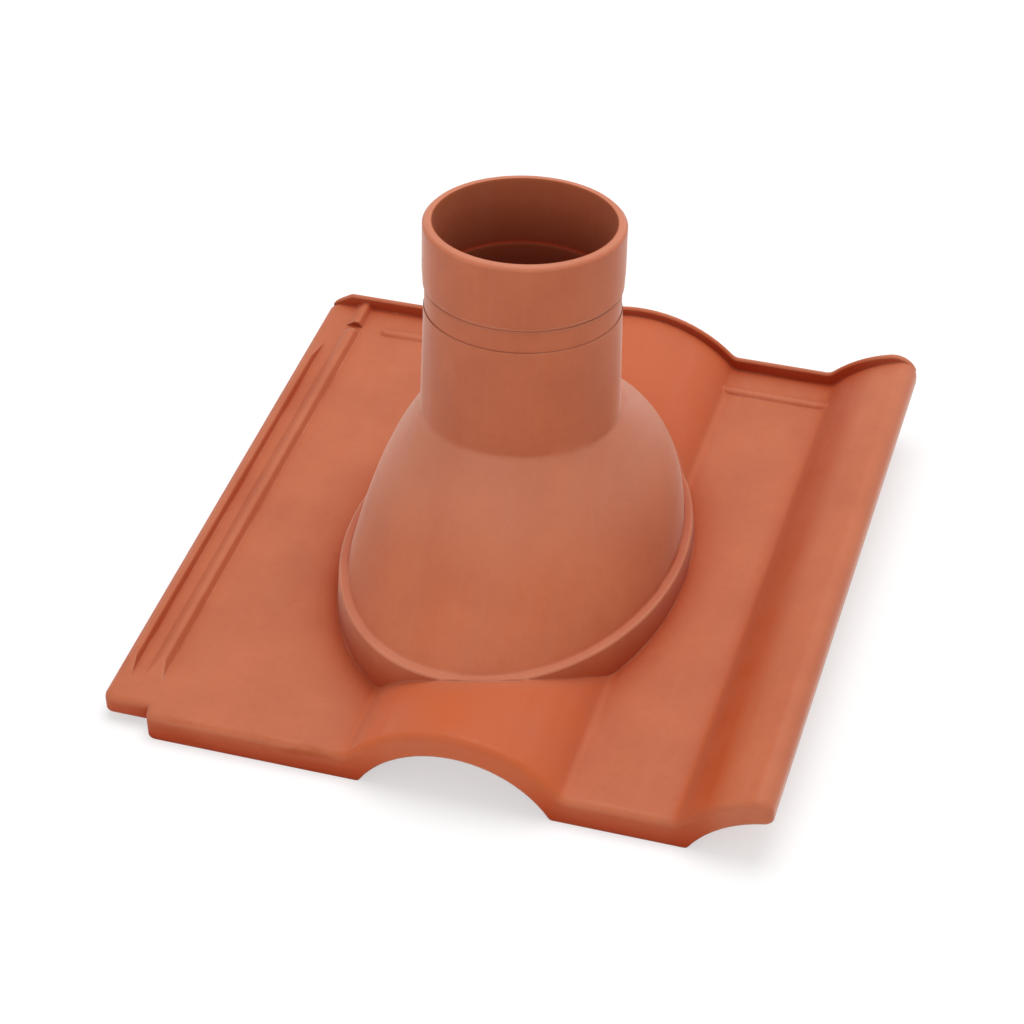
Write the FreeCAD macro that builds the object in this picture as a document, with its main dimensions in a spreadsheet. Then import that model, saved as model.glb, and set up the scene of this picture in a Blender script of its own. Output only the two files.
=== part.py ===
import FreeCAD, Part
import os
import re
from FreeCAD import Placement, Rotation, Vector

# A clay roof tile that carries a vent pipe, moulded as one piece. It has two flat pans, a roll between them,
# a half-roll along the right edge and a side lock along the left edge. An oval plinth stands on the sheet,
# and a bell-shaped dome leads from it to a pipe with a collar. The pipe leans towards the head of the tile.
# X runs across the tile, Y from the tail to the head and Z up from the underside of the pans.

SIZES = (
    ("tile_width", 387.5, "width over the side lock and the right edge"),
    ("tile_length", 401, "length from the tail edge to the head edge"),
    ("pan_thickness", 17, "thickness of the flat pans"),
    ("roll_wall", 15, "thickness of both rolls"),
    ("roll_centre", 210, "left edge to the crest line of the central roll"),
    ("roll_half_span", 55, "half the width of the hollow under the central roll"),
    ("roll_rise", 31.5, "height of the hollow under a roll"),
    ("edge_overhang", 9, "from the right edge out to the crest line that the half-roll would reach"),
    ("junction_round", 7, "radius between a pan and a roll"),
    ("hollow_round", 3, "radius along the lower edges of a hollow"),
    ("edge_round", 9, "radius along the top of the right edge"),
    ("tail_round", 4.5, "radius round the tail edge"),
    ("corner_round", 6.5, "radius of the corners at the tail"),
    ("head_corner_round", 8, "radius of the corner at the head of the lock"),
    ("lock_width", 28.5, "width of the side lock"),
    ("lock_lift", 5.5, "height of the underside of the lock above the pans' underside"),
    ("lock_setback", 9, "distance of the lock's end behind the tail edge"),
    ("rib_height", 3.8, "height of the lock ribs above the pan"),
    ("rib_start", 16, "tail edge to the root of the rib ramps"),
    ("rib_ramp", 26, "length of the rib ramps"),
    ("outer_rib_from_head", 24, "head edge to the end of the outer rib"),
    ("outer_rib_fade", 42, "length over which the outer rib fades towards the head"),
    ("rib_round", 1.4, "radius along the top of the lock ribs"),
    ("outer_rib_root_left", 2.5, "left edge to the near side of the outer rib's root, inside the sheet"),
    ("outer_rib_top_left", 5, "left edge to the near side of its top"),
    ("outer_rib_top_right", 8.5, "left edge to the far side of its top"),
    ("outer_rib_root_right", 12, "left edge to the far side of its root"),
    ("inner_rib_root_left", 12, "left edge to the near side of the inner rib's root"),
    ("inner_rib_top_left", 23, "left edge to the near side of its top"),
    ("inner_rib_top_right", 26, "left edge to the far side of its top"),
    ("inner_rib_root_right", 31.5, "left edge to the far side of its root"),
    ("notch_from_head", 28, "head edge to the middle of the notch in the inner rib"),
    ("notch_length", 7, "length of the notch"),
    ("lip_height", 8, "height of the head lip above the pans"),
    ("lip_crest_height", 5, "height of the lip above the central roll"),
    ("lip_edge_height", 3.5, "height of the lip above the half-roll"),
    ("lip_thickness", 3.4, "thickness of the lip"),
    ("lip_ramp", 14, "length of the ramp at the left end of the lip"),
    ("lip_end_round", 14, "radius at the right end of the lip"),
    ("lip_chamfer", 1, "chamfer along both top edges of the head lip"),
    ("cross_rib_from_head", 26, "head edge to the middle of the cross ribs"),
    ("cross_rib_radius", 4.2, "radius of the cross ribs"),
    ("cross_rib_height", 2.2, "height of the cross ribs above the pan"),
    ("cross_rib_gap", 17, "gap between the lock and the left cross rib"),
    ("vent_x", 190.8, "left edge to the vent axis, at the ledge"),
    ("vent_y", 190, "tail edge to the vent axis, at the ledge"),
    ("vent_lean", 5.4, "lean of the vent towards the head, in degrees"),
    ("ledge_below_crest", 1.5, "how far the front of the ledge lies under the crest of the roll"),
    ("ledge_half_width", 99.5, "half the width of the oval ledge"),
    ("ledge_half_length", 145.3, "half the length of the oval ledge"),
    ("ledge_width", 5.5, "width of the flat ledge round the dome"),
    ("ledge_chamfer", 1.2, "chamfer along the outer edge of the ledge"),
    ("seat_margin", 0.6, "gap round the ledge where it is let into the crest of the roll"),
    ("plinth_depth", 60, "depth to which the plinth is drawn before it is trimmed"),
    ("plinth_flare", 5, "how much wider the plinth is at that depth"),
    ("dome_height", 90, "height of the dome above the ledge"),
    ("dome_side_bulge", 6.5, "how far the dome's sides stand out at half height"),
    ("dome_length_bulge", 7, "how far its front and back stand out at half height"),
    ("dome_back_shift", 13, "how far the dome lies towards the head at half height"),
    ("pipe_foot_radius", 57.3, "outer radius of the pipe at the dome"),
    ("pipe_top_radius", 55.8, "outer radius of the pipe under the neck"),
    ("pipe_length", 65.5, "length of the tapered pipe"),
    ("pipe_lean", 2.1, "lean of the pipe on the dome, in degrees"),
    ("neck_radius", 55.3, "outside of the neck between the pipe and the collar"),
    ("neck_length", 14.8, "length of the neck band, with the groove above it"),
    ("groove_radius", 54.2, "outer radius in the groove under the collar"),
    ("groove_length", 2, "length of that groove"),
    ("collar_radius", 56.8, "outer radius of the collar"),
    ("collar_length", 37.8, "length of the collar"),
    ("collar_foot_radius", 56.3, "outer radius at the foot of the collar"),
    ("collar_taper", 9, "length over which the collar narrows to its foot"),
    ("collar_chamfer", 1.8, "chamfer round the outside of the mouth"),
    ("socket_radius", 51.5, "radius of the socket in the collar"),
    ("socket_depth", 40, "depth of the socket down to its stop ledge"),
    ("bore_radius", 49.5, "radius of the bore under the stop ledge"),
    ("vent_wall", 9.5, "thickness of the dome and the plinth"),
    ("nib_width", 40, "width of a nib under the head"),
    ("nib_depth", 15, "depth of a nib along the tile"),
    ("nib_drop", 14, "how far the nibs stand below the pans"),
    ("nib_taper", 2, "how much a nib draws in on each side"),
    ("nib_from_head", 45, "head edge to the tail side of the nibs"),
)

doc = FreeCAD.newDocument("roof_tile_vent")
sheet = doc.addObject("Spreadsheet::Sheet", "sizes")
for row, (alias, value, meaning) in enumerate(SIZES, start=1):
    sheet.set(f"A{row}", meaning)
    sheet.set(f"B{row}", str(value))
    sheet.setAlias(f"B{row}", alias)
doc.recompute()


def size(alias):
    return float(sheet.get(alias))


ALIASES = re.compile(r"\b(" + "|".join(alias for alias, value, meaning in SIZES) + r")\b")


def formula(text):
    return ALIASES.sub(r"sizes.\1", text)


def bind(item, **formulas):
    for name, text in formulas.items():
        item.setExpression(name, formula(text))


def place(item, x="0", y="0", z="0"):
    for letter, text in zip("xyz", (x, y, z)):
        item.setExpression("Placement.Base." + letter, formula(text))


def block(name, length, width, height, x="0", y="0", z="0"):
    item = doc.addObject("Part::Box", name)
    bind(item, Length=length, Width=width, Height=height)
    place(item, x, y, z)
    return item


def wedge(name, root, top, low, high, tail, head, tail_top, head_top):
    # root and top give the near and far side across the tile
    item = doc.addObject("Part::Wedge", name)
    item.Placement = Placement(Vector(), Rotation(Vector(1, 0, 0), 90))
    bind(item, Xmin=root[0], Xmax=root[1], X2min=top[0], X2max=top[1], Ymin=low, Ymax=high)
    bind(item, Zmin=f"-({head})", Zmax=f"-({tail})", Z2min=f"-({head_top})", Z2max=f"-({tail_top})")
    return item


def rod_along_tile(name, radius, length, x, y, z):
    item = doc.addObject("Part::Cylinder", name)
    item.Placement = Placement(Vector(), Rotation(Vector(1, 0, 0), -90))
    bind(item, Radius=radius, Height=length)
    place(item, x, y, z)
    return item


def rod_across_tile(name, radius, length, x, y, z):
    item = doc.addObject("Part::Cylinder", name)
    item.Placement = Placement(Vector(), Rotation(Vector(0, 1, 0), 90))
    bind(item, Radius=radius, Height=length)
    place(item, x, y, z)
    return item


def fuse(name, *items):
    item = doc.addObject("Part::MultiFuse", name)
    item.Shapes = list(items)
    return item


def cut(name, base, tool):
    item = doc.addObject("Part::Cut", name)
    item.Base = base
    item.Tool = tool
    return item


def common(name, *items):
    item = doc.addObject("Part::MultiCommon", name)
    item.Shapes = list(items)
    return item


def finish_edges(kind, name, base, *picks):
    # each pick is a size and a test that an edge has to pass
    doc.recompute()
    chosen = []
    for reach, test in picks:
        found = [number for number, edge in enumerate(base.Shape.Edges, start=1) if test(edge)]
        if not found:
            raise RuntimeError(f"{name}: no edge to finish with {reach}")
        chosen += [(number, reach, reach) for number in found]
    item = doc.addObject(kind, name)
    item.Base = base
    item.Edges = chosen
    return item


def round_edges(name, base, *picks):
    return finish_edges("Part::Fillet", name, base, *picks)


def bevel_edges(name, base, *picks):
    return finish_edges("Part::Chamfer", name, base, *picks)


def near(a, b):
    return abs(a - b) < 0.01


def runs_along(edge, direction):
    # True for a straight edge that runs along the direction
    if edge.Curve.TypeId != "Part::GeomLine":
        return False
    return edge.Curve.Direction.cross(direction).Length < 1e-6


# sizes that follow from the driving ones

HOLLOW_RADIUS = "(roll_half_span^2 + roll_rise^2) / (2 * roll_rise)"
ROLL_RADIUS = HOLLOW_RADIUS + " + roll_wall"
ROLL_AXIS = "roll_rise - (" + HOLLOW_RADIUS + ")"
CREST = "(roll_rise + roll_wall)"
EDGE_CENTRE = "tile_width + edge_overhang"
LEDGE_HEIGHT = CREST + " - ledge_below_crest - ledge_half_length * sin(vent_lean)"
LEAN_SHIFT = "tan(vent_lean)"
BURIED = "pan_thickness / 2"

# plan of the tile, with its rounded corners and the lock's end set back from the tail

plan_block = block("plan_block", "tile_width", "tile_length", "3 * " + CREST)
lock_end = block("lock_end", "lock_width", "lock_setback", "3 * " + CREST)
plan_sharp = cut("plan_sharp", plan_block, lock_end)


def upright_at(x, y):
    def test(edge):
        middle = edge.CenterOfMass
        return runs_along(edge, Vector(0, 0, 1)) and near(middle.x, x) and near(middle.y, y)
    return test


corner_round = size("corner_round")
inner_corner_round = (size("lock_setback") - corner_round) / 2
plan = round_edges(
    "plan", plan_sharp,
    (corner_round, upright_at(0, size("lock_setback"))),
    (corner_round, upright_at(size("lock_width"), 0)),
    (inner_corner_round, upright_at(size("lock_width"), size("lock_setback"))),
    (size("head_corner_round"), upright_at(0, size("tile_length"))),
)

# sheet: pans and rolls, hollow under the rolls

slab = block("slab", "tile_width", "tile_length", "pan_thickness")
roll = rod_along_tile("roll", ROLL_RADIUS, "tile_length", "roll_centre", "0", ROLL_AXIS)
edge_roll = rod_along_tile("edge_roll", ROLL_RADIUS, "tile_length", EDGE_CENTRE, "0", ROLL_AXIS)
sheet_solid = common("sheet_solid", fuse("sheet_forms", slab, roll, edge_roll), plan)
roll_hollow = rod_along_tile("roll_hollow", HOLLOW_RADIUS, "tile_length", "roll_centre", "0", ROLL_AXIS)
edge_hollow = rod_along_tile("edge_hollow", HOLLOW_RADIUS, "tile_length", EDGE_CENTRE, "0", ROLL_AXIS)
lock_recess = block("lock_recess", "lock_width", "tile_length", "lock_lift")
sheet_sharp = cut("sheet_sharp", sheet_solid, fuse("hollows", roll_hollow, edge_hollow, lock_recess))


def lengthwise(test):
    def both(edge):
        return runs_along(edge, Vector(0, 1, 0)) and test(edge.CenterOfMass)
    return both


def at_height(z):
    return lengthwise(lambda middle: near(middle.z, z) and middle.x > size("lock_width") + 1)


def on_right_edge(edge):
    middle = edge.CenterOfMass
    upper = middle.z > size("roll_rise") + size("roll_wall") / 2
    return upper and near(middle.x, size("tile_width")) and runs_along(edge, Vector(0, 1, 0))


sheet_soft = round_edges(
    "sheet_soft", sheet_sharp,
    (size("junction_round"), at_height(size("pan_thickness"))),
    (size("hollow_round"), at_height(0)),
    (size("edge_round"), on_right_edge),
)


def on_tail_top(edge):
    # the rounding runs on from here along the whole upper edge
    middle = edge.CenterOfMass
    return near(middle.y, 0) and near(middle.z, size("pan_thickness")) and runs_along(edge, Vector(1, 0, 0))


moulded_sheet = round_edges("moulded_sheet", sheet_soft, (size("tail_round"), on_tail_top))

# core: what lies under the middle of the sheet, so that added forms end inside its thickness

MID_RADIUS = HOLLOW_RADIUS + " + roll_wall / 2"
CORE_START = "-pan_thickness"
CORE_LENGTH = "tile_length + 2 * pan_thickness"
core_roll = rod_along_tile("core_roll", MID_RADIUS, CORE_LENGTH, "roll_centre", CORE_START, ROLL_AXIS)
core_edge_roll = rod_along_tile("core_edge_roll", MID_RADIUS, CORE_LENGTH, EDGE_CENTRE, CORE_START, ROLL_AXIS)
core_block = block(
    "core_block", "2 * tile_width", CORE_LENGTH, "2 * tile_width",
    "-tile_width / 2", CORE_START, BURIED + " - 2 * tile_width",
)
core = fuse("core", core_roll, core_edge_roll, core_block)

# head lip: follows the sheet's profile, full on the pans, lower on the rolls, ramped at the left end

LIP_START = "tile_length - lip_thickness"
lip_slab = wedge(
    "lip_slab", ("-lip_ramp", "tile_width"), ("lip_ramp", "tile_width"), BURIED, "pan_thickness + lip_height",
    LIP_START, "tile_length", LIP_START, "tile_length",
)
lip_roll = rod_along_tile(
    "lip_roll", ROLL_RADIUS + " + lip_crest_height", "lip_thickness", "roll_centre", LIP_START, ROLL_AXIS,
)
lip_edge_roll = rod_along_tile(
    "lip_edge_roll", ROLL_RADIUS + " + lip_edge_height", "lip_thickness",
    "tile_width + edge_overhang / 2", LIP_START, ROLL_AXIS,
)
lip_solid = common("lip_solid", fuse("lip_forms", lip_slab, lip_roll, lip_edge_roll), plan)


def lip_corner(edge):
    middle = edge.CenterOfMass
    return runs_along(edge, Vector(0, 1, 0)) and near(middle.z, size("pan_thickness") + size("lip_height"))


lip_bent = round_edges(
    "lip_bent", lip_solid,
    (size("junction_round"), lip_corner),
    (size("lip_end_round"), on_right_edge),
)


def lip_top(edge):
    box = edge.BoundBox
    start = size("tile_length") - size("lip_thickness")
    flat = near(box.YMin, box.YMax) and (near(box.YMin, start) or near(box.YMax, size("tile_length")))
    return flat and box.ZMax > size("pan_thickness") + size("lip_height") - 0.01


lip_soft = bevel_edges("lip_soft", lip_bent, (size("lip_chamfer"), lip_top))
lip = cut("lip", lip_soft, core)

# side lock: two ribs that ramp up from the tail, with a notch in the inner one


def lock_rib(name, root, top, head, head_top):
    sharp = wedge(
        name + "_sharp", root, top, "pan_thickness - rib_height", "pan_thickness + rib_height",
        "rib_start", head, "rib_start + rib_ramp", head_top,
    )
    crown = size("pan_thickness") + size("rib_height")
    return round_edges(name, sharp, (size("rib_round"), lengthwise(lambda middle: near(middle.z, crown))))


OUTER_RIB_END = "tile_length - outer_rib_from_head"
outer_rib = lock_rib(
    "outer_rib", ("outer_rib_root_left", "outer_rib_root_right"),
    ("outer_rib_top_left", "outer_rib_top_right"),
    OUTER_RIB_END, OUTER_RIB_END + " - outer_rib_fade",
)
whole_rib = lock_rib(
    "whole_rib", ("inner_rib_root_left", "inner_rib_root_right"),
    ("inner_rib_top_left", "inner_rib_top_right"),
    "tile_length", "tile_length",
)
notch = block(
    "notch", "2 * lock_width", "notch_length", "2 * rib_height",
    "0", "tile_length - notch_from_head - notch_length / 2", "pan_thickness - rib_height / 4",
)
inner_rib = cut("inner_rib", whole_rib, notch)
lock_ribs = common("lock_ribs", fuse("rib_pair", outer_rib, inner_rib), plan)

# cross ribs: low ridges that keep driven rain off the head lip

CROSS_Y = "tile_length - cross_rib_from_head"
CROSS_Z = "pan_thickness + cross_rib_height - cross_rib_radius"
LEFT_START = "lock_width + cross_rib_gap"
LEFT_END = "roll_centre - roll_half_span"
RIGHT_START = "roll_centre + roll_half_span"
RIGHT_END = EDGE_CENTRE + " - roll_half_span"
left_cross_rib = rod_across_tile(
    "left_cross_rib", "cross_rib_radius", f"{LEFT_END} - ({LEFT_START})", LEFT_START, CROSS_Y, CROSS_Z,
)
left_cross_end = doc.addObject("Part::Sphere", "left_cross_end")
bind(left_cross_end, Radius="cross_rib_radius")
place(left_cross_end, LEFT_START, CROSS_Y, CROSS_Z)
right_cross_rib = rod_across_tile(
    "right_cross_rib", "cross_rib_radius", f"{RIGHT_END} - ({RIGHT_START})", RIGHT_START, CROSS_Y, CROSS_Z,
)

# nibs: two lugs under the pans that hang the tile on its batten


def nib(name, centre):
    half = "nib_width / 2"
    low = (f"{centre} - {half} + nib_taper", f"{centre} + {half} - nib_taper")
    high = (f"{centre} - {half}", f"{centre} + {half}")
    tail = "tile_length - nib_from_head"
    return wedge(
        name, low, high, "-nib_drop", BURIED,
        tail, f"{tail} + nib_depth - nib_taper", tail, f"{tail} + nib_depth",
    )


left_nib = nib("left_nib", f"(lock_width + {LEFT_END}) / 2")
right_nib = nib("right_nib", f"({RIGHT_START} + {RIGHT_END}) / 2")

# vent, drawn upright on its own axis with the ledge at height zero


def oval(name, half_width, half_length, height, shift="0", lean=0):
    item = doc.addObject("Part::Ellipse", name)
    leaning = Rotation(Vector(-1, 0, 0), lean)
    item.Placement = Placement(Vector(), leaning.multiply(Rotation(Vector(0, 0, 1), 90)))
    bind(item, MajorRadius=half_length, MinorRadius=half_width)
    place(item, "0", shift, height)
    return item


def loft(name, sections, ruled):
    item = doc.addObject("Part::Loft", name)
    item.Sections = sections
    item.Solid = True
    item.Ruled = ruled
    return item


def tapered(name, low_radius, top_radius, length, height):
    item = doc.addObject("Part::Cone", name)
    bind(item, Radius1=low_radius, Radius2=top_radius, Height=length)
    place(item, "0", "0", height)
    return item


def straight(name, radius, length, height):
    item = doc.addObject("Part::Cylinder", name)
    bind(item, Radius=radius, Height=length)
    place(item, "0", "0", height)
    return item


DOME_STEPS = 5
CAVITY_STEPS = 8


def dome_sections(name, steps, inset, top_radius):
    # ovals that narrow from the foot of the dome to the pipe and bulge between the two; the last one leans
    sections = []
    for step in range(steps + 1):
        share = step / steps
        bulge = 4 * share * (1 - share)
        half_width = (
            f"(ledge_half_width - ledge_width - {inset}) * {1 - share}"
            f" + {top_radius} * {share} + dome_side_bulge * {bulge}"
        )
        half_length = (
            f"(ledge_half_length - ledge_width - {inset}) * {1 - share}"
            f" + {top_radius} * {share} + dome_length_bulge * {bulge}"
        )
        sections.append(oval(
            f"{name}_{step}", half_width, half_length, f"dome_height * {share}", f"dome_back_shift * {bulge}",
            size("pipe_lean") if step == steps else 0,
        ))
    return sections


def lean(item, degrees, x, y, z):
    # turns a form towards the head of the tile and puts its own origin at x, y, z
    item.Placement = Placement(Vector(), Rotation(Vector(-1, 0, 0), size(degrees)))
    item.setExpression("Placement.Rotation.Angle", formula(degrees))
    place(item, x, y, z)
    return item


# heights along the pipe, from the top of the dome

COLLAR_FOOT = "pipe_length + neck_length"
GROOVE_FOOT = COLLAR_FOOT + " - groove_length"
MOUTH = COLLAR_FOOT + " + collar_length"
plinth = loft("plinth", [
    oval(
        "plinth_low", "ledge_half_width + plinth_flare", "ledge_half_length + plinth_flare",
        "-plinth_depth", f"plinth_depth * {LEAN_SHIFT}",
    ),
    oval("plinth_edge", "ledge_half_width", "ledge_half_length", "-ledge_chamfer"),
    oval("plinth_top", "ledge_half_width - ledge_chamfer", "ledge_half_length - ledge_chamfer", "0"),
], ruled=True)
dome = loft("dome", dome_sections("dome_oval", DOME_STEPS, "0", "pipe_foot_radius"), ruled=False)
pipe = tapered("pipe", "pipe_foot_radius", "pipe_top_radius", "pipe_length", "0")
neck = straight("neck", "neck_radius", "neck_length - groove_length", "pipe_length")
groove = straight("groove", "groove_radius", "groove_length", GROOVE_FOOT)
collar_foot = tapered("collar_foot", "collar_foot_radius", "collar_radius", "collar_taper", COLLAR_FOOT)
collar = straight(
    "collar", "collar_radius", "collar_length - collar_taper - collar_chamfer",
    COLLAR_FOOT + " + collar_taper",
)
collar_edge = tapered(
    "collar_edge", "collar_radius", "collar_radius - collar_chamfer",
    "collar_chamfer", MOUTH + " - collar_chamfer",
)
pipe_forms = fuse("pipe_forms", pipe, neck, groove, collar_foot, collar, collar_edge)
lean(pipe_forms, "pipe_lean", "0", "0", "dome_height")
vent_solid = fuse("vent_solid", plinth, dome, pipe_forms)
cavity_foot = oval(
    "cavity_foot",
    "ledge_half_width - ledge_width - vent_wall", "ledge_half_length - ledge_width - vent_wall",
    "-2 * plinth_depth", f"2 * plinth_depth * {LEAN_SHIFT}",
)
cavity_sections = dome_sections("cavity_oval", CAVITY_STEPS, "vent_wall", "bore_radius")
cavity_shaft = loft("cavity_shaft", [cavity_foot, cavity_sections[0]], ruled=True)
cavity_dome = loft("cavity_dome", cavity_sections, ruled=True)
bore = straight("bore", "bore_radius", MOUTH, "0")
socket = straight("socket", "socket_radius", "2 * socket_depth", f"{MOUTH} - socket_depth")
pipe_way = lean(fuse("pipe_way", bore, socket), "pipe_lean", "0", "0", "dome_height")
cavity = fuse("cavity", cavity_shaft, cavity_dome, pipe_way)
seat_half_width = "ledge_half_width + seat_margin"
seat_half_length = "ledge_half_length + seat_margin"
seat_oval = loft("seat_oval", [
    oval("seat_low", seat_half_width, seat_half_length, "-ledge_chamfer"),
    oval("seat_high", seat_half_width, seat_half_length, "dome_height"),
], ruled=True)
for item in (vent_solid, cavity, seat_oval):
    lean(item, "vent_lean", "vent_x", "vent_y", LEDGE_HEIGHT)
vent_shell = cut("vent_shell", vent_solid, core)
front_half = block("front_half", "tile_width", "vent_y", "dome_height + 3 * " + CREST)
seated_sheet = cut("seated_sheet", moulded_sheet, common("ledge_seat", seat_oval, front_half))

# whole tile, centred over its plan and standing on its nibs

tile_forms = fuse(
    "tile_forms", seated_sheet, lip, lock_ribs, left_cross_rib, left_cross_end, right_cross_rib,
    left_nib, right_nib, vent_shell,
)
vent_tile = cut("vent_tile", tile_forms, cavity)
vent_tile.Label = "vent_tile"
place(vent_tile, "-tile_width / 2", "-tile_length / 2", "nib_drop")
doc.recompute()

for item in doc.Objects:
    if "Invalid" in item.State or "Error" in item.State:
        raise RuntimeError(f"{item.Name} failed: {item.State}")
shape = vent_tile.Shape
if shape.isNull() or not shape.isValid() or len(shape.Solids) != 1:
    raise RuntimeError("the tile is not one valid solid")
os.makedirs("parts", exist_ok=True)
shape.exportStep(f"parts/{vent_tile.Label}.step")
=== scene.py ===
# %% [markdown]
# # A clay roof tile with a vent pipe
# The tile was pressed from clay, dipped in a thin clay slip and fired. The measured model is loaded first.
# It is the fixed frame: everything below is placed from it, and its size never changes.

# %% Load the measured tile
import math

import bpy
from mathutils import Matrix, Vector


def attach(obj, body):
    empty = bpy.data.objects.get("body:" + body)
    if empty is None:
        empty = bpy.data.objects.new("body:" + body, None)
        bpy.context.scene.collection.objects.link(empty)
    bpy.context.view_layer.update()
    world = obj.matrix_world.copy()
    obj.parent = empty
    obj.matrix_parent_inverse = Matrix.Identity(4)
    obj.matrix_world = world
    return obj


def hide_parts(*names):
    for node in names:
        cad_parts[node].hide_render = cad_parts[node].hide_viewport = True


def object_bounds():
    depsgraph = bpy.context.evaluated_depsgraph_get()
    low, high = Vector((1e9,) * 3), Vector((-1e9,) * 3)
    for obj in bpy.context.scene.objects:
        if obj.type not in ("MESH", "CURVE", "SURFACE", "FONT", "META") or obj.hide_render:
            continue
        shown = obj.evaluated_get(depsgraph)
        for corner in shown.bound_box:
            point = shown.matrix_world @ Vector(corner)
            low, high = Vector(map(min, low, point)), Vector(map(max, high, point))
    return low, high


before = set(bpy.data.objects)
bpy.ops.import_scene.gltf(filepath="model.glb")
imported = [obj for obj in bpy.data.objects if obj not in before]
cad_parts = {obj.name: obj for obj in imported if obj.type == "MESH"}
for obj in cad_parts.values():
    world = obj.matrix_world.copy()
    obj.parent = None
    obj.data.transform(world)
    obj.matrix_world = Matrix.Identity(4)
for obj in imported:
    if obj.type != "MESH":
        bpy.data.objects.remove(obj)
cad_box = [list(corner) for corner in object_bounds()]
cad_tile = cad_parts["vent_tile"]
MM = 0.001
print("tile measures", [round((high - low) / MM, 1) for low, high in zip(*cad_box)], "mm")

# %% [markdown]
# ## The skin of the tile
# The real tile is one pressed piece. It could be modelled again by hand, but a copy of the measured mesh
# keeps every size. That mesh is made of loose triangles, so light breaks at every one of them. The copy is
# merged, shaded smooth up to an angle and given weighted normals. The flat pans then stay flat, the dome
# turns without facets, and the pressed edges stay crisp.

# %% Merge and smooth a copy
SMOOTH_ANGLE = math.radians(24)
MERGE_GAP = 0.002 * MM


def deselect_everything():
    bpy.ops.object.select_all(action="DESELECT")


tile = bpy.data.objects.new("clay_tile", cad_tile.data.copy())
bpy.context.scene.collection.objects.link(tile)
deselect_everything()
tile.select_set(True)
bpy.context.view_layer.objects.active = tile
bpy.ops.object.mode_set(mode="EDIT")
bpy.ops.mesh.select_all(action="SELECT")
bpy.ops.mesh.customdata_custom_splitnormals_clear()
bpy.ops.mesh.remove_doubles(threshold=MERGE_GAP)
bpy.ops.object.mode_set(mode="OBJECT")
bpy.ops.object.shade_smooth_by_angle(angle=SMOOTH_ANGLE)
bpy.ops.object.modifier_add(type="WEIGHTED_NORMAL")
weighted = tile.modifiers[-1]
weighted.mode = "FACE_AREA"
weighted.keep_sharp = True
bpy.ops.object.modifier_apply(modifier=weighted.name)
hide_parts("vent_tile")
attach(tile, "root")
print("skin has", len(tile.data.polygons), "faces")

# %% [markdown]
# ## Colours and nodes
# Colours are sRGB hex values, as a colour picker shows them. Shaders work in linear light, so one function
# converts them. Another adds a node, sets it and links it, which keeps each material short. The third
# starts a material with no nodes in it.

# %% Three small helpers


def linear(hex_colour):
    # the sRGB curve has a straight foot and is a power above it
    levels = [int(hex_colour[start:start + 2], 16) / 255 for start in (1, 3, 5)]
    light = [level / 12.92 if level <= 0.04045 else ((level + 0.055) / 1.055) ** 2.4 for level in levels]
    opaque = 1
    return light + [opaque]


def add(tree, kind, settings=None, links=None):
    node = tree.nodes.new(kind)
    for name, value in (settings or {}).items():
        if isinstance(name, int) or name in node.inputs:
            node.inputs[name].default_value = value
        else:
            setattr(node, name, value)
    for name, socket in (links or {}).items():
        tree.links.new(socket, node.inputs[name])
    return node


def new_material(name):
    material = bpy.data.materials.new(name)
    material.use_nodes = True
    material.node_tree.nodes.clear()
    return material


print("white is", linear("#ffffff"))

# %% [markdown]
# ## Fired clay: the colour
# Terracotta gets its red from iron in the clay. No two places fire alike, so the kiln leaves cloudy patches,
# some centimetres wide. A picture could carry them, but noise between two close colours has no seams. It
# reads Object coordinates, which are in metres, so the patches get their real size.

# %% Colour the clay
BLOTCH = 38 * MM
BLOTCH_LOW, BLOTCH_HIGH = 0.35, 0.65
DARK_CLAY = "#b05c3a"
LIGHT_CLAY = "#b8633f"
clay = new_material("slip_coated_terracotta")
tree = clay.node_tree
place = add(tree, "ShaderNodeTexCoord").outputs["Object"]
blotches = add(tree, "ShaderNodeTexNoise", {"Scale": 1 / BLOTCH, "Detail": 3}, {"Vector": place})
spread = add(
    tree, "ShaderNodeMapRange", {"From Min": BLOTCH_LOW, "From Max": BLOTCH_HIGH},
    {"Value": blotches.outputs["Fac"]},
)
body = add(
    tree, "ShaderNodeMix", {"data_type": "RGBA", "A": linear(DARK_CLAY), "B": linear(LIGHT_CLAY)},
    {"Factor": spread.outputs["Result"]},
)
print("clay has patches of", BLOTCH / MM, "mm")

# %% [markdown]
# ## Streaks and flecks
# The slip was wiped along the tile while wet, which left faint pale streaks, and the clay itself has small
# darker flecks. One noise could not give both, because streaks are long and flecks are round. So there are
# two, one stretched along the tile and one fine.

# %% Streak and fleck the clay
STREAK = Vector((7, 130, 130)) * MM
STREAK_LOW, STREAK_HIGH = 0.45, 0.75
STREAK_SHARE = 0.3
WIPED_SLIP = "#b56c50"
FLECK = 5 * MM
FLECK_LOW, FLECK_HIGH = 0.5, 0.75
FLECK_SHARE = 0.16
FLECK_CLAY = "#9a4424"
stretched = add(
    tree, "ShaderNodeMapping", {"Scale": [1 / length for length in STREAK]}, {"Vector": place},
)
streaks = add(tree, "ShaderNodeTexNoise", {"Scale": 1, "Detail": 3}, {"Vector": stretched.outputs["Vector"]})
streak_share = add(
    tree, "ShaderNodeMapRange", {"From Min": STREAK_LOW, "From Max": STREAK_HIGH, "To Max": STREAK_SHARE},
    {"Value": streaks.outputs["Fac"]},
)
wiped = add(
    tree, "ShaderNodeMix", {"data_type": "RGBA", "B": linear(WIPED_SLIP)},
    {"Factor": streak_share.outputs["Result"], "A": body.outputs["Result"]},
)
flecks = add(
    tree, "ShaderNodeTexNoise", {"Scale": 1 / FLECK, "Detail": 5, "Roughness": 0.65}, {"Vector": place},
)
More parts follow.
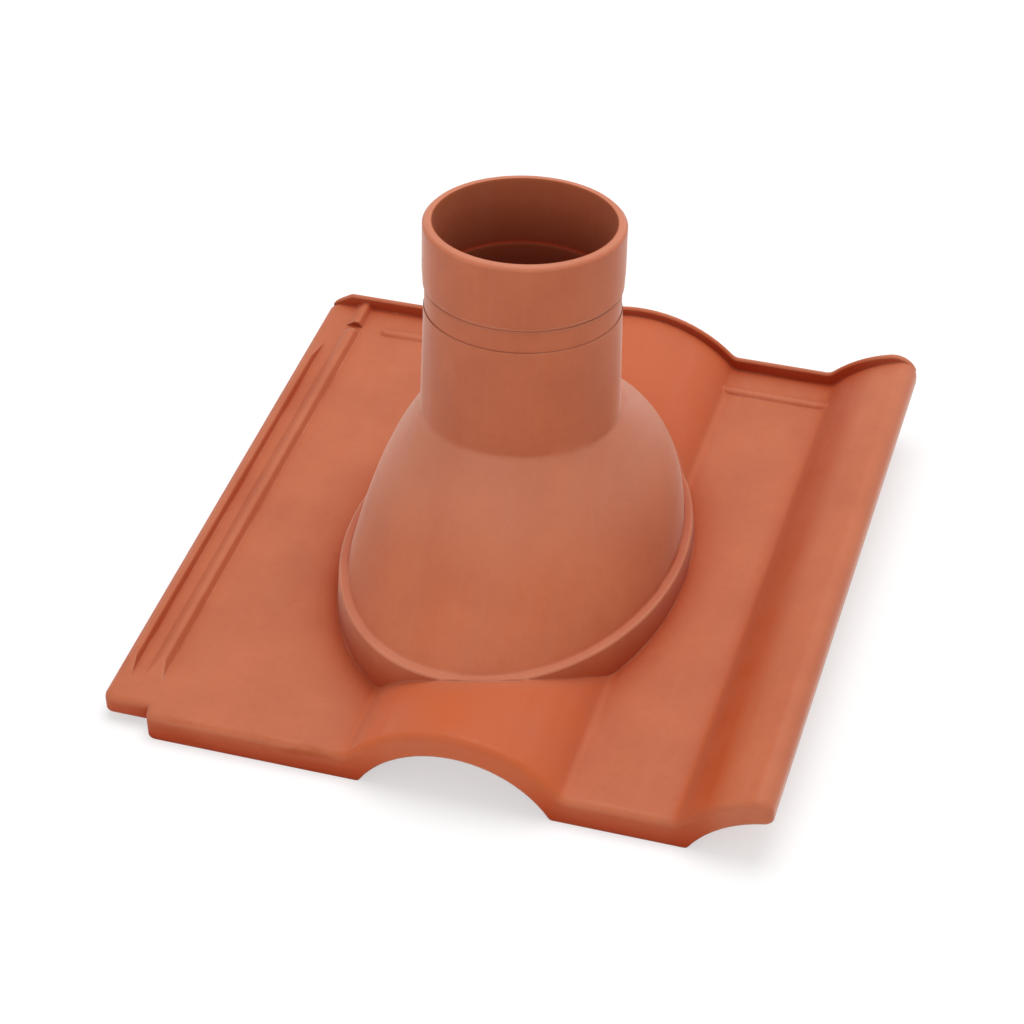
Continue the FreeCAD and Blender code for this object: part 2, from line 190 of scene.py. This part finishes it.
fleck_share = add(
    tree, "ShaderNodeMapRange", {"From Min": FLECK_LOW, "From Max": FLECK_HIGH, "To Max": FLECK_SHARE},
    {"Value": flecks.outputs["Fac"]},
)
flecked = add(
    tree, "ShaderNodeMix", {"data_type": "RGBA", "B": linear(FLECK_CLAY)},
    {"Factor": fleck_share.outputs["Result"], "A": wiped.outputs["Result"]},
)
print("streaks are", round(STREAK.x / MM), "mm wide, and flecks", FLECK / MM, "mm")

# %% [markdown]
# ## The oval of the vent
# Two finishes below follow the oval ledge round the dome. Its faces could get a material of their own, but
# then colours would stop at hard edges. Measuring from its middle in half-widths and half-lengths turns the
# oval into a circle, so one length tells how far out a place lies, and a finish can fade. That length is 1
# at the outer edge of the ledge.

# %% Measure from the middle of the oval
VENT_CENTRE = Vector((-2.95, -10.5, 0)) * MM
LEDGE_HALF_WIDTH = 99.5 * MM
LEDGE_HALF_LENGTH = 145.3 * MM
from_vent = add(tree, "ShaderNodeVectorMath", {"operation": "SUBTRACT", 1: VENT_CENTRE}, {0: place})
in_ovals = add(
    tree, "ShaderNodeVectorMath",
    {"operation": "MULTIPLY", 1: (1 / LEDGE_HALF_WIDTH, 1 / LEDGE_HALF_LENGTH, 0)},
    {0: from_vent.outputs["Vector"]},
)
ovals_out = add(tree, "ShaderNodeVectorMath", {"operation": "LENGTH"}, {0: in_ovals.outputs["Vector"]})
print("ledge measures", 2 * LEDGE_HALF_WIDTH / MM, "by", 2 * LEDGE_HALF_LENGTH / MM, "mm")

# %% [markdown]
# ## The covered end of the oval
# Behind the dome the crest of the roll covers the ledge. The ledge is left out there, and what lies off the
# vent is told by a slightly smaller oval.

# %% Tell what lies off the vent
COVER_START = 85 * MM
COVER_END = 110 * MM
COVER_SHRINK = 0.08
VENT_END = 0.98
SHEET_START = 1.06
axes = add(tree, "ShaderNodeSeparateXYZ", links={"Vector": place})
lengthwise = axes.outputs["Y"]
uncovered = add(
    tree, "ShaderNodeMapRange", {"From Min": COVER_END, "From Max": COVER_START}, {"Value": lengthwise},
)
smaller = add(
    tree, "ShaderNodeMapRange", {"To Min": COVER_SHRINK, "To Max": 0},
    {"Value": uncovered.outputs["Result"]},
)
oval_place = add(
    tree, "ShaderNodeMath", {"operation": "ADD"},
    {0: ovals_out.outputs["Value"], 1: smaller.outputs["Result"]},
)
off_vent = add(
    tree, "ShaderNodeMapRange", {"From Min": VENT_END, "From Max": SHEET_START},
    {"Value": oval_place.outputs["Value"]},
)
print("ledge is covered from", COVER_START / MM, "mm on")

# %% [markdown]
# ## Where the slip is thin, and shade at the half-roll foot
# Wet slip runs off the roll, so the redder clay shows along it. The band along the foot of the half-roll is
# darker: it is painted shade, where the flank turns from the light. It could be painted on by hand, but both
# run straight along the tile, so two soft bands bring them out, each placed by its distance across the tile.
# The vent was set on afterwards and dipped again, so the bands stop at its ledge.

# %% Thin the slip on the roll and paint shade at the half-roll foot
# each band has its middle, half its width and its colour: the clay that shows, or painted shade
THIN_SLIP_AND_SHADE_BANDS = {
    "roll": (15 * MM, 62 * MM, "#b95426"),
    "half_roll_foot_shade": (152 * MM, 11 * MM, "#a9461a"),
}
BAND_FADE = 8 * MM
BAND_LEAST = 0.7
across = axes.outputs["X"]
band_uneven = add(
    tree, "ShaderNodeMapRange", {"To Min": BAND_LEAST}, {"Value": spread.outputs["Result"]},
)
band_patches = add(
    tree, "ShaderNodeMath", {"operation": "MULTIPLY"},
    {0: band_uneven.outputs["Result"], 1: off_vent.outputs["Result"]},
)
thinned_and_shaded = flecked
for middle, half_width, colour in THIN_SLIP_AND_SHADE_BANDS.values():
    offset = add(tree, "ShaderNodeMath", {"operation": "SUBTRACT", 1: middle}, {0: across})
    distance = add(tree, "ShaderNodeMath", {"operation": "ABSOLUTE"}, {0: offset.outputs["Value"]})
    band = add(
        tree, "ShaderNodeMapRange",
        {
            "interpolation_type": "SMOOTHSTEP",
            "From Min": half_width + BAND_FADE, "From Max": half_width - BAND_FADE,
        },
        {"Value": distance.outputs["Value"]},
    )
    band_share = add(
        tree, "ShaderNodeMath", {"operation": "MULTIPLY"},
        {0: band.outputs["Result"], 1: band_patches.outputs["Value"]},
    )
    # the half-roll foot band mixes in painted shade
    thinned_and_shaded = add(
        tree, "ShaderNodeMix", {"data_type": "RGBA", "B": linear(colour)},
        {"Factor": band_share.outputs["Value"], "A": thinned_and_shaded.outputs["Result"]},
    )
print("slip is thin on", ", ".join(THIN_SLIP_AND_SHADE_BANDS))

# %% [markdown]
# ## The tail edge
# The wet tile leaned on the left end of its tail edge to drain, which rubbed the slip off. The rubbed place
# is found first: it is the last few millimetres of the tile, and fades out where the left pan ends.

# %% Find the rubbed edge
RUB_REACH = 5 * MM
RUB_FULL = 1.25 * MM
RUB_END = -50 * MM
RUB_END_FADE = 10 * MM
RUB_REST = 0.2
tail_y = cad_box[0][1]
at_tail = add(
    tree, "ShaderNodeMapRange", {"From Min": tail_y + RUB_REACH, "From Max": tail_y + RUB_FULL},
    {"Value": lengthwise},
)
leaned_on = add(
    tree, "ShaderNodeMapRange",
    {"From Min": RUB_END + RUB_END_FADE, "From Max": RUB_END - RUB_END_FADE, "To Min": RUB_REST},
    {"Value": across},
)
rub_band = add(
    tree, "ShaderNodeMath", {"operation": "MULTIPLY"},
    {0: at_tail.outputs["Result"], 1: leaned_on.outputs["Result"]},
)
print("tail edge is rubbed over", RUB_REACH / MM, "mm")

# %% [markdown]
# ## Raw clay at the tail edge
# The slip went in long patches, and raw clay shows there, browner than the rest. Plain noise would give
# round stains, so the noise is stretched along the edge.

# %% Rub the edge in patches
RUB = Vector((34, 300, 5)) * MM
RUB_LOW, RUB_HIGH = 0.48, 0.62
RUB_SHARE = 0.65
RAW_CLAY = "#a04512"
rub_place = add(tree, "ShaderNodeMapping", {"Scale": [1 / length for length in RUB]}, {"Vector": place})
rub_noise = add(
    tree, "ShaderNodeTexNoise", {"Scale": 1, "Detail": 4, "Roughness": 0.6},
    {"Vector": rub_place.outputs["Vector"]},
)
rub_patches = add(
    tree, "ShaderNodeMapRange", {"From Min": RUB_LOW, "From Max": RUB_HIGH, "To Max": RUB_SHARE},
    {"Value": rub_noise.outputs["Fac"]},
)
rub_share = add(
    tree, "ShaderNodeMath", {"operation": "MULTIPLY"},
    {0: rub_band.outputs["Value"], 1: rub_patches.outputs["Result"]},
)
drained = add(
    tree, "ShaderNodeMix", {"data_type": "RGBA", "B": linear(RAW_CLAY)},
    {"Factor": rub_share.outputs["Value"], "A": thinned_and_shaded.outputs["Result"]},
)
print("rubbed patches are", round(RUB.x / MM), "mm long")

# %% [markdown]
# ## Corners: painted shade
# Corners are painted a deeper red: this is painted shade, where less light reaches them. Open faces carry a
# pale bloom. Pointiness could find the corners, but it needs a dense mesh, and flat pans have few points.
# The
# ambient occlusion node works on any mesh: it measures how much of its surroundings a place can see.

# %% Paint shade into the corners
CORNER_REACH = 36 * MM
CORNER_START, CORNER_FULL = 0.92, 0.42
CORNER_SHADE = "#9c3008"
corners = add(tree, "ShaderNodeAmbientOcclusion", {"samples": 8, "Distance": CORNER_REACH})
corner_shade_share = add(
    tree, "ShaderNodeMapRange", {"From Min": CORNER_START, "From Max": CORNER_FULL},
    {"Value": corners.outputs["AO"]},
)
# painted shade: the less a place sees, the deeper red it gets
corner_shaded = add(
    tree, "ShaderNodeMix", {"data_type": "RGBA", "B": linear(CORNER_SHADE)},
    {"Factor": corner_shade_share.outputs["Result"], "A": drained.outputs["Result"]},
)
print("corners reach", CORNER_REACH / MM, "mm")

# %% [markdown]
# ## The axis of the pipe
# The finishes of the pipe are placed from its axis, which starts where the pipe stands on the dome and leans
# towards the head of the tile. A cross product with the axis gives the distance from it, and a dot product
# the way along it.

# %% Measure from the axis of the pipe
PIPE_FOOT = Vector((-2.95, -2.03, 134.9)) * MM
PIPE_LEAN = math.radians(7.5)
pipe_axis = Vector((0, math.sin(PIPE_LEAN), math.cos(PIPE_LEAN)))
from_foot = add(tree, "ShaderNodeVectorMath", {"operation": "SUBTRACT", 1: PIPE_FOOT}, {0: place})
off_axis = add(
    tree, "ShaderNodeVectorMath", {"operation": "CROSS_PRODUCT", 1: pipe_axis},
    {0: from_foot.outputs["Vector"]},
)
radius = add(tree, "ShaderNodeVectorMath", {"operation": "LENGTH"}, {0: off_axis.outputs["Vector"]})
along = add(
    tree, "ShaderNodeVectorMath", {"operation": "DOT_PRODUCT", 1: pipe_axis},
    {0: from_foot.outputs["Vector"]},
)
print("pipe leans", round(math.degrees(PIPE_LEAN), 1), "degrees")

# %% [markdown]
# ## Inside the pipe
# The clay inside the pipe is painted browner with depth: this is painted shade, where less light gets in. A
# second material would start at a hard line, so the same one darkens along the axis. What lies no further
# from the axis than the wall of the socket is inside.

# %% Paint shade into the inside
PIPE_LENGTH = 118.1 * MM
SOCKET_RADIUS = 51.5 * MM
SOCKET_FADE = 0.8 * MM
SHADE_START_DEPTH = 12 * MM
INSIDE_SHADE_DEPTH = 50 * MM
INSIDE_SHADE_SHARE = 0.75
INSIDE_SHADE = "#77210b"
outside = add(
    tree, "ShaderNodeMapRange", {"From Min": SOCKET_RADIUS, "From Max": SOCKET_RADIUS + SOCKET_FADE},
    {"Value": radius.outputs["Value"]},
)
depth = add(
    tree, "ShaderNodeMapRange",
    {"From Min": PIPE_LENGTH - SHADE_START_DEPTH, "From Max": PIPE_LENGTH - INSIDE_SHADE_DEPTH, "To Max": INSIDE_SHADE_SHARE},
    {"Value": along.outputs["Value"]},
)
# painted shade, deeper further down the pipe
inside_shaded = add(
    tree, "ShaderNodeMix", {"data_type": "RGBA", "B": linear(INSIDE_SHADE)},
    {"Factor": depth.outputs["Result"], "A": corner_shaded.outputs["Result"]},
)
lined = add(
    tree, "ShaderNodeMix", {"data_type": "RGBA"},
    {"Factor": outside.outputs["Result"], "A": inside_shaded.outputs["Result"], "B": corner_shaded.outputs["Result"]},
)
print("inside begins", SOCKET_RADIUS / MM, "mm from the axis")

# %% [markdown]
# ## The groove under the collar
# The narrow groove under the collar is painted pale: this is painted light, which lifts the shade that falls
# in it. A ring of slip could be modelled, but it would be about a millimetre thick, so colour is enough. The
# groove is found by its place along the pipe and its distance from the axis.

# %% Paint light into the groove
GROOVE_MIDDLE = 79.3 * MM
GROOVE_REACH = 1.2 * MM
NECK_RADIUS = 55.3 * MM
NECK_MARGIN = 0.2 * MM
NECK_FADE = 0.2 * MM
GROOVE_LIGHT = "#dc8a68"
in_band = add(
    tree, "ShaderNodeMath", {"operation": "COMPARE", 1: GROOVE_MIDDLE, 2: GROOVE_REACH},
    {0: along.outputs["Value"]},
)
groove_level = NECK_RADIUS + NECK_MARGIN
below_skin = add(
    tree, "ShaderNodeMapRange", {"From Min": groove_level + NECK_FADE, "From Max": groove_level},
    {"Value": radius.outputs["Value"]},
)
in_ring = add(
    tree, "ShaderNodeMath", {"operation": "MULTIPLY"},
    {0: below_skin.outputs["Result"], 1: outside.outputs["Result"]},
)
in_groove = add(
    tree, "ShaderNodeMath", {"operation": "MULTIPLY"},
    {0: in_band.outputs["Value"], 1: in_ring.outputs["Value"]},
)
# painted light: the groove is made paler
groove_lightened = add(
    tree, "ShaderNodeMix", {"data_type": "RGBA", "B": linear(GROOVE_LIGHT)},
    {"Factor": in_groove.outputs["Value"], "A": lined.outputs["Result"]},
)
print("groove lies", GROOVE_MIDDLE / MM, "mm up the pipe")

# %% [markdown]
# ## A painted highlight where the vent faces up
# Where the vent faces up it is painted paler, a painted highlight of the light from above: on the shoulder
# of the dome under the pipe and on the rim of the mouth. The direction of the surface would find the pans
# too, which stay as they are. So both places are found by how far along the pipe they lie.

# %% Find the shoulder and the rim
SHOULDER_REACH = 70 * MM
SHOULDER_FULL = 17.5 * MM
PIPE_FOOT_FADE = 2 * MM
RIM_REACH = 1.5 * MM
shoulder = add(
    tree, "ShaderNodeMapRange",
    {"interpolation_type": "SMOOTHSTEP", "From Min": -SHOULDER_REACH, "From Max": -SHOULDER_FULL},
    {"Value": along.outputs["Value"]},
)
below_pipe = add(
    tree, "ShaderNodeMapRange", {"From Min": PIPE_FOOT_FADE, "From Max": -PIPE_FOOT_FADE},
    {"Value": along.outputs["Value"]},
)
on_shoulder = add(
    tree, "ShaderNodeMath", {"operation": "MULTIPLY"},
    {0: shoulder.outputs["Result"], 1: below_pipe.outputs["Result"]},
)
rim = add(
    tree, "ShaderNodeMapRange", {"From Min": PIPE_LENGTH - RIM_REACH, "From Max": PIPE_LENGTH},
    {"Value": along.outputs["Value"]},
)
on_vent = add(
    tree, "ShaderNodeMath", {"operation": "MAXIMUM"},
    {0: on_shoulder.outputs["Value"], 1: rim.outputs["Result"]},
)
print("dust reaches", SHOULDER_REACH / MM, "mm down the dome")

# %% [markdown]
# ## The highlight on the ledge
# The oval ledge faces up too. It is the outermost ring of the oval, where the roll does not cover it. The
# painted highlight is then laid on all three places, but not inside the pipe.

# %% Find the ledge and paint the highlight
LEDGE_INNER = 0.945
LEDGE_OUTER = 1.005
LEDGE_FADE = 0.015
PAINTED_HIGHLIGHT_SHARE = 0.16
PAINTED_HIGHLIGHT = "#dfa58c"
ledge_inner = add(
    tree, "ShaderNodeMapRange", {"From Min": LEDGE_INNER, "From Max": LEDGE_INNER + LEDGE_FADE},
    {"Value": ovals_out.outputs["Value"]},
)
ledge_outer = add(
    tree, "ShaderNodeMapRange", {"From Min": LEDGE_OUTER, "From Max": LEDGE_OUTER - LEDGE_FADE},
    {"Value": ovals_out.outputs["Value"]},
)
ledge_ring = add(
    tree, "ShaderNodeMath", {"operation": "MULTIPLY"},
    {0: ledge_inner.outputs["Result"], 1: ledge_outer.outputs["Result"]},
)
on_ledge = add(
    tree, "ShaderNodeMath", {"operation": "MULTIPLY"},
    {0: ledge_ring.outputs["Value"], 1: uncovered.outputs["Result"]},
)
facing_up = add(
    tree, "ShaderNodeMath", {"operation": "MAXIMUM"},
    {0: on_vent.outputs["Value"], 1: on_ledge.outputs["Value"]},
)
highlight_share = add(tree, "ShaderNodeMapRange", {"To Max": PAINTED_HIGHLIGHT_SHARE}, {"Value": facing_up.outputs["Value"]})
highlight_outside = add(
    tree, "ShaderNodeMath", {"operation": "MULTIPLY"},
    {0: highlight_share.outputs["Result"], 1: outside.outputs["Result"]},
)
# painted highlight on the shoulder, the rim and the ledge
highlighted = add(
    tree, "ShaderNodeMix", {"data_type": "RGBA", "B": linear(PAINTED_HIGHLIGHT)},
    {"Factor": highlight_outside.outputs["Value"], "A": groove_lightened.outputs["Result"]},
)
print("dust covers", PAINTED_HIGHLIGHT_SHARE, "of the colour")

# %% [markdown]
# ## Worn and highlit edges
# Handling rubs the slip off the edges, in patches, and the paler edges are also a painted highlight where
# light catches them. Rounding every edge of the mesh would take many faces. The bevel node rounds the
# shading alone, and where its normal turns away from the plain one, an edge is near. The inside of the pipe
# is not touched.

# %% Wear the edges and paint their highlight
EDGE_ROUND = 2.2 * MM
TURN_START, TURN_FULL = 0.985, 0.8
WEAR_AND_HIGHLIGHT_SHARE = 0.9
WORN_EDGE_HIGHLIGHT = "#d3967a"
softened = add(tree, "ShaderNodeBevel", {"samples": 6, "Radius": EDGE_ROUND})
plain = add(tree, "ShaderNodeNewGeometry")
turn = add(
    tree, "ShaderNodeVectorMath", {"operation": "DOT_PRODUCT"},
    {0: softened.outputs["Normal"], 1: plain.outputs["Normal"]},
)
edge_share = add(
    tree, "ShaderNodeMapRange", {"From Min": TURN_START, "From Max": TURN_FULL, "To Max": WEAR_AND_HIGHLIGHT_SHARE},
    {"Value": turn.outputs["Value"]},
)
open_edges = add(
    tree, "ShaderNodeMath", {"operation": "MULTIPLY"},
    {0: edge_share.outputs["Result"], 1: corners.outputs["AO"]},
)
patchy = add(
    tree, "ShaderNodeMath", {"operation": "MULTIPLY"},
    {0: open_edges.outputs["Value"], 1: spread.outputs["Result"]},
)
rubbed = add(
    tree, "ShaderNodeMath", {"operation": "MULTIPLY"},
    {0: patchy.outputs["Value"], 1: outside.outputs["Result"]},
)
# paler edges: wear, and partly a painted highlight
worn_and_highlit = add(
    tree, "ShaderNodeMix", {"data_type": "RGBA", "B": linear(WORN_EDGE_HIGHLIGHT)},
    {"Factor": rubbed.outputs["Value"], "A": highlighted.outputs["Result"]},
)
print("edges look rounded by", EDGE_ROUND / MM, "mm")

# %% [markdown]
# ## The gloss of the slip
# The slip fires to a satin skin: matt when seen straight on, with a grey bloom at a glancing angle. A clear
# coat would shine, so the bloom is sheen, which is strongest at that angle. The streaks of the wiping show
# in the gloss too. In corners and inside the pipe the slip was not wiped, so it has no gloss there and
# hardly any bloom.

# %% Set the gloss and the bloom
GLOSS_LOW, GLOSS_HIGH = 0.3, 0.7
SMOOTH_STREAK, ROUGH_STREAK = 0.42, 0.6
UNWIPED_ROUGHNESS = 0.95
WIPE_START, WIPE_FULL = 0.55, 0.95
LEAST_BLOOM, FULL_BLOOM = 0.03, 0.5
gloss = add(
    tree, "ShaderNodeMapRange",
    {"From Min": GLOSS_LOW, "From Max": GLOSS_HIGH, "To Min": SMOOTH_STREAK, "To Max": ROUGH_STREAK},
    {"Value": streaks.outputs["Fac"]},
)
openness = add(
    tree, "ShaderNodeMath", {"operation": "MINIMUM"},
    {0: corners.outputs["AO"], 1: outside.outputs["Result"]},
)
matt_corners = add(
    tree, "ShaderNodeMapRange",
    {"From Min": WIPE_START, "From Max": WIPE_FULL, "To Min": UNWIPED_ROUGHNESS},
    {"Value": openness.outputs["Value"], "To Max": gloss.outputs["Result"]},
)
bloom = add(
    tree, "ShaderNodeMapRange",
    {"From Min": WIPE_START, "From Max": WIPE_FULL, "To Min": LEAST_BLOOM, "To Max": FULL_BLOOM},
    {"Value": openness.outputs["Value"]},
)
print("roughness runs from", SMOOTH_STREAK, "to", UNWIPED_ROUGHNESS)

# %% [markdown]
# ## The grain of the clay
# The flecks stand up a little under the slip, and sand in the clay gives a fine grain. Both are too small
# for the mesh, so they are bumps, laid over the rounded shading of the edges. Real sand is finer than the
# grain here, but would not show in the render. With the bumps the shader is complete, and the tile gets its
# material.

# %% Give the tile its clay
FLECK_HEIGHT = 0.12 * MM
GRAIN = 0.9 * MM
GRAIN_HEIGHT = 0.06 * MM
BUMP_STRENGTH = 0.5
BLOOM_TINT = "#eee0d4"
uneven = add(
    tree, "ShaderNodeBump", {"Strength": BUMP_STRENGTH, "Distance": FLECK_HEIGHT},
    {"Height": flecks.outputs["Fac"], "Normal": softened.outputs["Normal"]},
)
grain = add(tree, "ShaderNodeTexNoise", {"Scale": 1 / GRAIN, "Detail": 2}, {"Vector": place})
sandy = add(
    tree, "ShaderNodeBump", {"Strength": BUMP_STRENGTH, "Distance": GRAIN_HEIGHT},
    {"Height": grain.outputs["Fac"], "Normal": uneven.outputs["Normal"]},
)
skin = add(
    tree, "ShaderNodeBsdfPrincipled",
    {"IOR": 1.5, "Specular IOR Level": 0.3, "Sheen Roughness": 0.3, "Sheen Tint": linear(BLOOM_TINT)},
    {
        "Base Color": worn_and_highlit.outputs["Result"], "Roughness": matt_corners.outputs["Result"],
        "Sheen Weight": bloom.outputs["Result"], "Normal": sandy.outputs["Normal"],
    },
)
add(tree, "ShaderNodeOutputMaterial", links={"Surface": skin.outputs["BSDF"]})
tile.data.materials.clear()
tile.data.materials.append(clay)
print("clay has", len(tree.nodes), "nodes")

# %% [markdown]
# ## Floor
# The tile lies on its tail edge and on the two nibs under its head, so the floor passes through both. A
# plane is laid at that slope.

# %% Lay the floor
PAN_UNDERSIDE = 14 * MM
NIB_FROM_HEAD = 45 * MM
FLOOR_METRES = 14
low, high = (Vector(corner) for corner in cad_box)
nib_y = high.y - NIB_FROM_HEAD
floor_slope = -math.atan2(PAN_UNDERSIDE - low.z, nib_y - low.y)
deselect_everything()
bpy.ops.mesh.primitive_plane_add(size=FLOOR_METRES)
floor = bpy.context.active_object
floor.name = "floor"
tail_line = Vector((0, low.y, PAN_UNDERSIDE))
floor.data.transform(Matrix.Translation(tail_line) @ Matrix.Rotation(floor_slope, 4, "X"))
print("floor slopes", round(math.degrees(floor_slope), 2), "degrees")

# %% [markdown]
# ## White paper
# The floor is white paper. Part of its white is a glow that only rays which show the paper itself can see,
# straight or in a reflection. A soft shadow is left, and no more light than usual falls on the clay.

# %% Make the floor of paper
PAPER = "#fcfcfc"
WHITE = "#ffffff"
GLOW_SHARE = 0.55


def seen_directly(tree):
    # 1 for rays that show the surface itself, 0 for rays that carry light
    rays = add(tree, "ShaderNodeLightPath")
    mirrored = add(
        tree, "ShaderNodeMath", {"operation": "MAXIMUM"},
        {0: rays.outputs["Is Glossy Ray"], 1: rays.outputs["Is Transmission Ray"]},
    )
    either = add(
        tree, "ShaderNodeMath", {"operation": "MAXIMUM"},
        {0: rays.outputs["Is Camera Ray"], 1: mirrored.outputs["Value"]},
    )
    return either.outputs["Value"]


paper = new_material("white_paper")
tree = paper.node_tree
sheet = add(tree, "ShaderNodeBsdfDiffuse", {"Color": linear(PAPER)})
glow = add(tree, "ShaderNodeEmission", {"Color": linear(WHITE), "Strength": 1.0})
share = add(tree, "ShaderNodeMath", {"operation": "MULTIPLY", 1: GLOW_SHARE}, {0: seen_directly(tree)})
mix = add(
    tree, "ShaderNodeMixShader",
    links={0: share.outputs["Value"], 1: sheet.outputs["BSDF"], 2: glow.outputs["Emission"]},
)
add(tree, "ShaderNodeOutputMaterial", links={"Surface": mix.outputs["Shader"]})
floor.data.materials.append(paper)
print("paper glows by", GLOW_SHARE)

# %% [markdown]
# ## Even light
# The tile lies in a white tent, which gives even light from all round. Walls could be modelled for it, but a
# white world does the same. It looks white itself, and lights the clay with less than that.

# %% Put up the tent
TENT_LIGHT = 0.6
scene = bpy.context.scene
scene.view_settings.view_transform = "Standard"
world = bpy.data.worlds.new("white_tent")
scene.world = world
world.use_nodes = True
tree = world.node_tree
tree.nodes.clear()
strength = add(tree, "ShaderNodeMapRange", {"To Min": TENT_LIGHT}, {"Value": seen_directly(tree)})
tent = add(
    tree, "ShaderNodeBackground", {"Color": linear(WHITE)}, {"Strength": strength.outputs["Result"]},
)
add(tree, "ShaderNodeOutputWorld", links={"Surface": tent.outputs["Background"]})
print("tent light", TENT_LIGHT)

# %% [markdown]
# ## Lamps
# Three soft lamps shape the tile: a large one above, a window in front that lights the dome, and a weak one
# behind on the right for the rim of the pipe. Places and sizes are in metres.

# %% Hang the lamps


def soft_lamp(name, place, aim, size, watts):
    data = bpy.data.lights.new(name, "AREA")
    data.shape = "DISK"
    data.size = size
    data.energy = watts
    lamp = bpy.data.objects.new(name, data)
    lamp.location = place
    lamp.rotation_euler = (Vector(aim) - Vector(place)).to_track_quat("-Z", "Y").to_euler()
    scene.collection.objects.link(lamp)
    print(name, "gives", watts, "W")


soft_lamp("key_lamp", place=(0.15, 0.45, 2.4), aim=(0, 0, 0.05), size=1.8, watts=36)
soft_lamp("window_lamp", place=(-0.4, -2.3, 1.0), aim=(0, 0, 0.1), size=1.6, watts=9)
soft_lamp("rim_lamp", place=(1.2, 1.7, 1.2), aim=(0, 0, 0.1), size=1.2, watts=4)

# %% [markdown]
# ## Camera
# The camera looks down on the tile from in front and slightly from the right, through a long lens.
# The angles, the distance and the point aimed at were found by fitting edges of the tile.

# %% Place the camera
ELEVATION = math.radians(39.97)
AZIMUTH = math.radians(17.66)
ROLL = math.radians(-1.284)
DISTANCE = 1812.96 * MM
AIM = Vector((-23.73, 43.11, 14)) * MM
SENSOR_MM = 36
FOCAL_PIXELS = 2972.9
FRAME_PIXELS = 1024
back = Vector((
    math.sin(AZIMUTH) * math.cos(ELEVATION), -math.cos(AZIMUTH) * math.cos(ELEVATION), math.sin(ELEVATION),
))
level_right = Vector((math.cos(AZIMUTH), math.sin(AZIMUTH), 0))
level_up = back.cross(level_right)
right = level_right * math.cos(ROLL) + level_up * math.sin(ROLL)
up = back.cross(right)
camera = bpy.data.objects.new("camera", bpy.data.cameras.new("camera"))
camera.data.sensor_width = SENSOR_MM
camera.data.lens = FOCAL_PIXELS / FRAME_PIXELS * SENSOR_MM
turned = Matrix((right, up, back)).transposed().to_4x4()
camera.matrix_world = Matrix.Translation(AIM + back * DISTANCE) @ turned
scene.collection.objects.link(camera)
scene.camera = camera
print("lens", round(camera.data.lens, 1), "mm")
